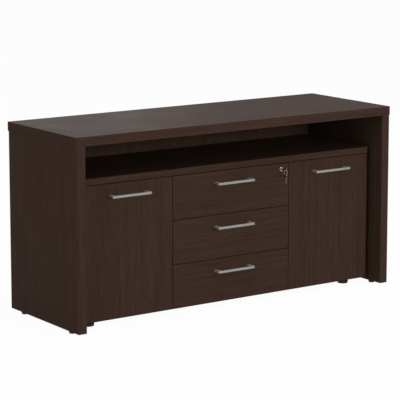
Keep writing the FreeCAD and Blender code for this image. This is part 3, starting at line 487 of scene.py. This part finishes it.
RIB_THICKNESS = 0.0016
RIB_HEIGHT = 0.0095
RIB_SLOPE = 0.006
RIB_ROUND = 0.0003
PLATE_UNDERSIDE = FOOT_HEIGHT - PLATE_HEIGHT
rib = fresh(bpy.ops.mesh.primitive_cube_add, size=1,
            location=((FOOT_NECK + FOOT_PLATE) / 2 - 0.0015, 0, PLATE_UNDERSIDE - 0.0045),
            scale=(FOOT_PLATE - FOOT_NECK, RIB_THICKNESS, RIB_HEIGHT))
shape(rib)
pick("VERT", lambda point: point.co.z < PLATE_UNDERSIDE - 0.005 and point.co.x > FOOT_NECK + 0.002)
bpy.ops.transform.translate(value=(0, 0, RIB_SLOPE))
pick("EDGE", sharp)
bpy.ops.mesh.bevel(offset=RIB_ROUND, segments=2)
done()
ribs = [copied(rib, Matrix.Rotation(math.tau * turn / RIBS, 4, "Z")) for turn in range(RIBS)]
bpy.data.objects.remove(rib)
foot = joined([foot, *ribs], "foot")
dress(standing(foot, foot_boxes, "feet"), plastic, "carcass", "foot_plastic", "cabinet_feet")
bpy.data.objects.remove(foot)


# Shelf pins in the left bay: turned zinc-plated steel pegs with rounded ends, pushed into the boards.
# The loose shelf lies on them.
pin_boxes = solids("shelf_pins")
PIN_RADIUS = (pin_boxes[0][1].z - pin_boxes[0][0].z) / 2
PIN_LENGTH = pin_boxes[0][1].x - pin_boxes[0][0].x
PIN_ROUND = 0.0006
pin = fresh(bpy.ops.mesh.primitive_cylinder_add, vertices=24, radius=PIN_RADIUS, depth=PIN_LENGTH,
            rotation=(0, math.radians(90), 0))
shape(pin)
pick("EDGE", sharp)
bpy.ops.mesh.bevel(offset=PIN_ROUND, segments=3)
done()
pins = [copied(pin, Matrix.Translation((low + high) / 2)) for low, high in pin_boxes]
dress(joined(pins, "pegs"), zinc, "carcass", "zinc_steel", "shelf_pins")
bpy.data.objects.remove(pin)


# Drawer slides: three nested steel channels on each side of each drawer, zinc plated.
# The outer one is fixed to the divider and the inner one to the drawer.
# The middle one travels half as far.
slide_members = ["slide_outer_members"]
for number in (1, 2, 3):
    slide_members += [f"drawer_{number}_slide_inner", f"drawer_{number}_slide_middle"]
paint(zinc, *slide_members)


# Drawers: three equal fronts on boxes of plain brown board, each with a thin bottom let into a groove.
# The fronts are laminated like the doors, with the grain running across.
BOX_DARK = (0.095, 0.068, 0.054, 1.0)
BOX_LIGHT = (0.150, 0.114, 0.094, 1.0)


def box_board(names, grain):
    """Matt plain-grained board of drawer boxes, with its grain along an axis."""
    material, shader, place = new_finish(f"box_board_{grain}", Specular_IOR_Level=0.2)
    fibres = place.stretched(ALONG[grain]).noise(330.0, 4.0)
    flecks = place.noise(900.0, 2.0).ramp(0.6, 0.72)
    colour = fibres.ramp(0.3, 0.7).between(BOX_DARK, BOX_LIGHT)
    feed(shader, Base_Color=(flecks * 0.35).between(colour, BOX_DARK), Roughness=0.50 + fibres * 0.15,
         Normal=(fibres - flecks * 0.4).bump(0.12, 0.0002))
    paint(material, *names)


drawers = ("drawer_1", "drawer_2", "drawer_3")
for drawer in drawers:
    wenge(f"{drawer}_front", "x")
box_board([f"{drawer}_box_sides" for drawer in drawers], "y")
box_board([f"{drawer}_{piece}" for drawer in drawers for piece in ("box_ends", "bottom")], "x")


# Doors: one laminated leaf on each side of the drawers, with the grain upright.
# Each leaf is bored from behind for its two hinge cups.
for leaf in ("left_door", "right_door"):
    wenge(leaf, "z")


# Hinges: pressed steel cups let into the doors, each with one pin, and cranked arms on mounting plates.
# Cups and plates are held by small screws, and two more set the arm on its plate.
paint(zinc, "hinge_arms", "hinge_plates", "left_hinge_cups", "right_hinge_cups",
      "left_hinge_pins", "right_hinge_pins")
small_screw = pan_screw(0.0012, 0.004, 0.0030, 0.0013)
plate_spots, cup_spots = [], {"left": [], "right": []}
WING_HOLE = 0.0045
PLATE_THICKNESS = 0.0025
ARM_SCREWS = (0.012, 0.032)
for low, high in solids("hinge_plates"):
    centre = (low + high) / 2
    inward = -1 if centre.x > 0 else 1
    wing = (high.x if inward < 0 else low.x) + inward * PLATE_THICKNESS
    for z in (low.z + WING_HOLE, high.z - WING_HOLE):
        plate_spots.append(((wing, centre.y, z), (inward, 0, 0)))
for low, high in solids("hinge_arms"):
    inward = -1 if low.x > 0 else 1
    tail = low.x if inward < 0 else high.x
    for behind in ARM_SCREWS:
        plate_spots.append(((tail, high.y - behind, (low.z + high.z) / 2), (inward, 0, 0)))
for hand in cup_spots:
    for low, high in solids(f"{hand}_hinge_cups"):
        for z in (low.z + WING_HOLE, high.z - WING_HOLE):
            cup_spots[hand].append((((low.x + high.x) / 2, high.y, z), (0, 1, 0)))
    dress(driven(small_screw, cup_spots[hand], f"{hand}_cup_screws"), zinc, f"{hand}_leaf", "zinc_steel")
dress(driven(small_screw, plate_spots, "plate_screws"), zinc, "carcass", "zinc_steel")
bpy.data.objects.remove(small_screw)


# Handles: cast bridge handles in satin nickel, one straight bar with a flat post at each end.
# The bar is brushed lengthwise, and two screws hold each handle from behind.
NICKEL_DARK = (0.235, 0.23, 0.225, 1.0)
NICKEL_LIGHT = (0.32, 0.315, 0.31, 1.0)
nickel, shader, place = new_finish("satin_nickel", Metallic=1.0)
brushing = place.stretched((0.02, 1.0, 1.0)).noise(2400.0, 2.0)
handling = place.noise(30.0, 3.0)
feed(shader, Base_Color=brushing.ramp(0.25, 0.75).between(NICKEL_DARK, NICKEL_LIGHT),
     Roughness=0.60 + brushing * 0.12 + handling * 0.08, Normal=brushing.bump(0.10, 0.0001))

HANDLE_BAR = 0.009
HANDLE_POST = 0.016
INNER_ROUND = 0.0090
END_ROUND = 0.0040
EDGE_ROUND = 0.0009
HAIR = 1e-5
low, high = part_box("drawer_1_handle")
size = high - low
handle = fresh(bpy.ops.mesh.primitive_cube_add, size=1, location=(0, HANDLE_BAR / 2, 0),
               scale=(size.x, HANDLE_BAR, size.z))
HANDLE_INNER = size.x / 2 - HANDLE_POST
shape(handle)
for x in (-HANDLE_INNER, HANDLE_INNER):
    bpy.ops.mesh.select_all(action="SELECT")
    bpy.ops.mesh.bisect(plane_co=(x, 0, 0), plane_no=(1, 0, 0))
pick("FACE", lambda face: face.normal.y > 0.9 and abs(face.calc_center_median().x) > HANDLE_INNER)
bpy.ops.mesh.extrude_region_move(TRANSFORM_OT_translate={"value": (0, size.y - HANDLE_BAR, 0)})
pick("EDGE", lambda edge: sharp(edge) and abs(abs(middle_of(edge).x) - HANDLE_INNER) < HAIR
     and abs(middle_of(edge).y - HANDLE_BAR) < HAIR and abs(middle_of(edge).z) < HAIR)
bpy.ops.mesh.bevel(offset=INNER_ROUND, segments=10)
pick("EDGE", lambda edge: sharp(edge) and abs(middle_of(edge).x) > size.x / 2 - HAIR
     and middle_of(edge).y < HAIR and abs(middle_of(edge).z) < HAIR)
bpy.ops.mesh.bevel(offset=END_ROUND, segments=6)
pick("EDGE", lambda edge: sharp(edge) and middle_of(edge).y < size.y - 0.0005)
bpy.ops.mesh.bevel(offset=EDGE_ROUND, segments=3)
done()
fronts = {"left_door": "left_leaf", "right_door": "right_leaf", "drawer_1": "top_drawer",
          "drawer_2": "middle_drawer", "drawer_3": "bottom_drawer"}
HANDLE_SHANK = 0.0019
for front, body in fronts.items():
    low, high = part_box(f"{front}_handle")
    spot = Vector(((low.x + high.x) / 2, low.y, (low.z + high.z) / 2))
    bar = joined([copied(handle, Matrix.Translation(spot))], f"{front}_pull")
    dress(bar, nickel, body, "satin_nickel", f"{front}_handle")
    screw_boxes = solids(f"{front}_handle_screws")
    low, high = screw_boxes[0]
    handle_screw = pan_screw(HANDLE_SHANK, high.y - low.y - HEAD_HEIGHT, HEAD_RADIUS, HEAD_HEIGHT)
    spots = [
        (((low.x + high.x) / 2, high.y - HEAD_HEIGHT, (low.z + high.z) / 2), (0, 1, 0))
        for low, high in screw_boxes
    ]
    dress(driven(handle_screw, spots, f"{front}_pull_screws"), zinc, body, "zinc_steel",
          f"{front}_handle_screws")
    bpy.data.objects.remove(handle_screw)
bpy.data.objects.remove(handle)


# Lock in the top drawer: a nickel-plated barrel with a raised face ring, and a plug that the key turns.
# Behind the front the plug carries a cam, which catches a bent strike under the niche shelf.
CHROME_DARK = (0.23, 0.23, 0.23, 1.0)
CHROME_LIGHT = (0.28, 0.275, 0.27, 1.0)
chrome, shader, place = new_finish("lock_chrome", Metallic=1.0)
polish = place.noise(420.0, 4.0)
scratches = place.stretched((0.05, 1.0, 1.0)).noise(1900.0, 2.0).ramp(0.62, 0.72)
feed(shader, Base_Color=polish.ramp(0.3, 0.7).between(CHROME_DARK, CHROME_LIGHT),
     Roughness=0.16 + polish * 0.06 + scratches * 0.14, Normal=scratches.bump(0.06, 0.0001))
paint(zinc, "lock_strike", "lock_cam")

low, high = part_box("lock_body")
LOCK_AXIS = Vector(((low.x + high.x) / 2, 0, (low.z + high.z) / 2))
FACE_RADIUS = (high.x - low.x) / 2
front_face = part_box("drawer_1_front")[0].y
plug_low, plug_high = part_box("lock_plug")
PLUG_RADIUS = (plug_high.x - plug_low.x) / 2
BARREL_RADIUS = 0.008
FACE_ROUND = 0.0006
PLUG_ROUND = 0.0004
PLUG_PLAY = 0.0001
KEYWAY_PLAY = 0.0002
PLUG_TAIL_RADIUS = 0.003
barrel = fresh(bpy.ops.mesh.primitive_cylinder_add, vertices=64, radius=FACE_RADIUS, depth=front_face - low.y,
               location=(LOCK_AXIS.x, (front_face + low.y) / 2, LOCK_AXIS.z),
               rotation=(math.radians(90), 0, 0))
shape(barrel)
pick("FACE", lambda face: face.normal.y > 0.9)
bpy.ops.mesh.inset(thickness=FACE_RADIUS - BARREL_RADIUS)
bpy.ops.mesh.extrude_region_move(TRANSFORM_OT_translate={"value": (0, high.y - front_face, 0)})
pick("FACE", lambda face: face.normal.y < -0.9)
bpy.ops.mesh.inset(thickness=FACE_RADIUS - PLUG_RADIUS - PLUG_PLAY)
bpy.ops.mesh.extrude_region_move(TRANSFORM_OT_translate={"value": (0, high.y - low.y - 0.0005, 0)})
pick("EDGE", lambda edge: sharp(edge) and middle_of(edge).y < front_face - 0.0005)
bpy.ops.mesh.bevel(offset=FACE_ROUND, segments=3)
done()
barrel.name = "lock_barrel"
dress(barrel, chrome, "top_drawer", "lock_chrome", "lock_body")

key_low, key_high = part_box("lock_key")
KEY_THICKNESS = key_high.x - key_low.x
BLADE = 0.007
plug = fresh(bpy.ops.mesh.primitive_cylinder_add, vertices=48, radius=PLUG_RADIUS, depth=high.y - plug_low.y,
             location=(LOCK_AXIS.x, (high.y + plug_low.y) / 2, LOCK_AXIS.z),
             rotation=(math.radians(90), 0, 0))
shape(plug)
pick("EDGE", lambda edge: sharp(edge) and middle_of(edge).y < front_face)
bpy.ops.mesh.bevel(offset=PLUG_ROUND, segments=2)
pick("FACE", lambda face: face.normal.y > 0.9)
bpy.ops.mesh.inset(thickness=PLUG_RADIUS - PLUG_TAIL_RADIUS)
bpy.ops.mesh.extrude_region_move(TRANSFORM_OT_translate={"value": (0, plug_high.y - high.y, 0)})
done()
keyway = fresh(bpy.ops.mesh.primitive_cube_add, size=1,
               location=(LOCK_AXIS.x, (plug_low.y + key_high.y) / 2 - 0.001, LOCK_AXIS.z),
               scale=(KEY_THICKNESS + KEYWAY_PLAY, key_high.y - plug_low.y + 0.0024, BLADE + KEYWAY_PLAY))
cut_with(plug, keyway)
plug.name = "plug"
dress(plug, chrome, "lock", "lock_chrome", "lock_plug")


# Keys: two flat nickel-plated keys with a rounded bow and cuts along the blade.
# One is in the lock, and the spare hangs from it on a split ring wound from flat steel wire.
BOW_LENGTH = 0.013
BOW_ROUND = 0.005
HOLE_RADIUS = 0.0025
HOLE_INSET = 0.0038
KEY_TIP = 0.0016
CUT_PITCH = 0.0026
CUT_DEPTHS = (0.0011, 0.0020, 0.0008)
CUT_TOOL = 0.0024
GROOVE_HEIGHT = -0.0019
GROOVE_DEPTH, GROOVE_WIDTH = 0.0008, 0.0014
KEY_ROUND = 0.00035
KEY_LENGTH = key_high.y - key_low.y
BOW_WIDTH = key_high.z - key_low.z
blank = fresh(bpy.ops.mesh.primitive_cube_add, size=1, location=(0, BOW_LENGTH / 2, 0),
              scale=(KEY_THICKNESS, BOW_LENGTH, BOW_WIDTH))
shape(blank)
for z in (-BLADE / 2, BLADE / 2):
    bpy.ops.mesh.select_all(action="SELECT")
    bpy.ops.mesh.bisect(plane_co=(0, 0, z), plane_no=(0, 0, 1))
pick("FACE", lambda face: face.normal.y > 0.9 and abs(face.calc_center_median().z) < BLADE / 2)
bpy.ops.mesh.extrude_region_move(TRANSFORM_OT_translate={"value": (0, KEY_LENGTH - BOW_LENGTH - KEY_TIP, 0)})
bpy.ops.mesh.extrude_region_move(TRANSFORM_OT_translate={"value": (0, KEY_TIP, 0)})
bpy.ops.transform.resize(value=(1, 1, 1 - 2 * KEY_TIP / BLADE), center_override=(0, KEY_LENGTH, 0))
pick("EDGE", lambda edge: sharp(edge) and abs(abs(middle_of(edge).z) - BOW_WIDTH / 2) < HAIR
     and abs(middle_of(edge).x) < HAIR)
bpy.ops.mesh.bevel(offset=BOW_ROUND, segments=6)
done()
cutters = [fresh(bpy.ops.mesh.primitive_cylinder_add, vertices=32, radius=HOLE_RADIUS,
                 depth=KEY_THICKNESS * 3, location=(0, HOLE_INSET, 0), rotation=(0, math.radians(90), 0))]
for step, depth in enumerate(CUT_DEPTHS):
    cutters.append(fresh(bpy.ops.mesh.primitive_cube_add, size=CUT_TOOL,
                         location=(0, KEY_LENGTH - KEY_TIP - (step + 0.5) * CUT_PITCH,
                                   BLADE / 2 - depth + CUT_TOOL / math.sqrt(2)),
                         rotation=(math.radians(45), 0, 0), scale=(3, 1, 1)))
for face in (-1, 1):
    cutters.append(fresh(bpy.ops.mesh.primitive_cube_add, size=1,
                         location=(face * KEY_THICKNESS / 2, BOW_LENGTH + KEY_LENGTH / 2 + 0.002,
                                   GROOVE_HEIGHT),
                         scale=(GROOVE_DEPTH, KEY_LENGTH, GROOVE_WIDTH)))
for cutter in cutters:
    cut_with(blank, cutter)
shape(blank)
pick("EDGE", lambda edge: sharp(edge) and middle_of(edge).y < BOW_LENGTH - 0.0005)
bpy.ops.mesh.bevel(offset=KEY_ROUND, segments=2)
done()
lock_key = joined([copied(blank, Matrix.Translation((LOCK_AXIS.x, key_low.y, LOCK_AXIS.z)))], "key")
dress(lock_key, chrome, "lock", "lock_chrome", "lock_key")
spare_low, spare_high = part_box("spare_key")
hung = Matrix.Translation((LOCK_AXIS.x, (spare_low.y + spare_high.y) / 2, spare_high.z))
spare = joined([copied(blank, hung @ Matrix.Rotation(math.radians(-90), 4, "X"))], "second_key")
dress(spare, chrome, "hanging_key", "lock_chrome", "spare_key")
bpy.data.objects.remove(blank)

ring_low, ring_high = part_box("key_ring")
WIRE = ring_high.y - ring_low.y
WIRE_WIDTH, WIRE_HEIGHT, WIRE_ROUND = 0.9, 0.33, 0.12
COIL_STEPS = 72
RING_RADIUS = (ring_high.x - ring_low.x - WIRE) / 2
wire = fresh(bpy.ops.mesh.primitive_plane_add, size=WIRE, location=(RING_RADIUS, 0, 0),
             rotation=(math.radians(90), 0, 0))
shape(wire)
pick("VERT", lambda point: True)
bpy.ops.transform.resize(value=(WIRE_WIDTH, 1, WIRE_HEIGHT), center_override=(RING_RADIUS, 0, 0))
bpy.ops.mesh.bevel(offset=WIRE * WIRE_ROUND, segments=2, affect="VERTICES")
bpy.ops.mesh.delete(type="ONLY_FACE")
done()
coil = wire.modifiers.new("coil", "SCREW")
coil.axis = "Z"
coil.steps = COIL_STEPS
coil.render_steps = COIL_STEPS
coil.iterations = 2
coil.screw_offset = WIRE / 3
coil.use_normal_calculate = True
bpy.ops.object.modifier_apply(modifier=coil.name)
shape(wire)
bpy.ops.mesh.select_all(action="SELECT")
bpy.ops.mesh.remove_doubles(threshold=1e-6)
bpy.ops.mesh.select_mode(type="EDGE")
bpy.ops.mesh.select_all(action="DESELECT")
bpy.ops.mesh.select_non_manifold()
bpy.ops.mesh.fill_holes(sides=0)
bpy.ops.mesh.select_all(action="SELECT")
bpy.ops.mesh.normals_make_consistent(inside=False)
done()
ring_middle = (ring_low + ring_high) / 2
turn = Matrix.Translation(ring_middle) @ Matrix.Rotation(math.radians(90), 4, "X")
low, high = [Vector(corner) for corner in (wire.bound_box[0], wire.bound_box[6])]
split_ring = joined([copied(wire, turn @ Matrix.Translation((0, 0, -(low.z + high.z) / 2)))], "split_ring")
dress(split_ring, chrome, "ring", "lock_chrome", "key_ring")
bpy.data.objects.remove(wire)


# Studio: a plain white floor and background, with soft lamps in front, on the left, above and behind.
# The background is white to the camera and in reflections, and the floor keeps a faint shadow.
floor = fresh(bpy.ops.mesh.primitive_plane_add, size=60)
floor.name = "floor"
floor_finish, shader, place = new_finish("white_floor", Roughness=0.9, Specular_IOR_Level=0.0)
paper = place.noise(3.0, 2.0)
feed(shader, Base_Color=paper.between((0.80, 0.80, 0.80, 1.0), (0.84, 0.84, 0.84, 1.0)))
tree = floor_finish.node_tree
lit = Shade(tree, shader.outputs[0])
rays = {output.name: Shade(tree, output) for output in tree.nodes.new("ShaderNodeLightPath").outputs}
seen = rays["Is Camera Ray"].most(rays["Is Glossy Ray"]).most(rays["Is Transmission Ray"])
glow = lit.node("ShaderNodeEmission", None, {"Color": (1.0, 1.0, 1.0, 1.0), "Strength": 1.0})
FLOOR_GLOW = 0.965
mixed = lit.node("ShaderNodeMixShader", None, {0: seen * FLOOR_GLOW, 1: lit, 2: glow})
tree.links.new(mixed.socket, tree.nodes["Material Output"].inputs["Surface"])
floor.data.materials.append(floor_finish)

AMBIENT = 0.46
world = bpy.data.worlds.new("studio")
bpy.context.scene.world = world
world.use_nodes = True
tree = world.node_tree
rays = {output.name: Shade(tree, output) for output in tree.nodes.new("ShaderNodeLightPath").outputs}
shown = rays["Is Camera Ray"].most(rays["Is Glossy Ray"]).most(rays["Is Transmission Ray"])
background = tree.nodes["Background"]
background.inputs["Color"].default_value = (1.0, 1.0, 1.0, 1.0)
strength = shown * (1 - AMBIENT) + AMBIENT
tree.links.new(strength.socket, background.inputs["Strength"])


def softbox(name, spot, aim, width, height, power):
    """A broad lamp that points at a spot on the cabinet."""
    lamp = bpy.data.lights.new(name, "AREA")
    lamp.shape = "RECTANGLE"
    lamp.size = width
    lamp.size_y = height
    lamp.energy = power
    holder = bpy.data.objects.new(name, lamp)
    bpy.context.collection.objects.link(holder)
    holder.location = spot
    holder.rotation_euler = (Vector(aim) - Vector(spot)).to_track_quat("-Z", "Y").to_euler()


softbox("front_lamp", (0.5, -6.0, 1.7), (0, 0, 0.6), 3.4, 0.8, 170)
softbox("left_lamp", (-5.0, -1.2, 1.4), (0, 0, 0.4), 2.4, 2.0, 45)
softbox("top_lamp", (0.2, -1.2, 4.4), (0, 0, 0.5), 2.4, 1.6, 75)
softbox("back_lamp", (1.4, 3.6, 1.5), (-0.4, 0, 0.7), 1.6, 1.2, 8)


# Camera: a long lens, low down at the front left, placed as in the photograph.
# The shift of the lens stands for the photograph's crop.
camera = bpy.data.cameras.new("camera")
camera.sensor_width = 36.0
camera.lens = 164.506
camera.shift_x = -0.01175
camera.shift_y = -0.15691
viewer = bpy.data.objects.new("camera", camera)
bpy.context.collection.objects.link(viewer)
viewer.location = (-4.13714, -5.90874, 1.75907)
viewer.rotation_euler = (math.radians(81.2966), 0, math.radians(-35.0061))
bpy.context.scene.camera = viewer
bpy.context.scene.view_settings.view_transform = "Standard"
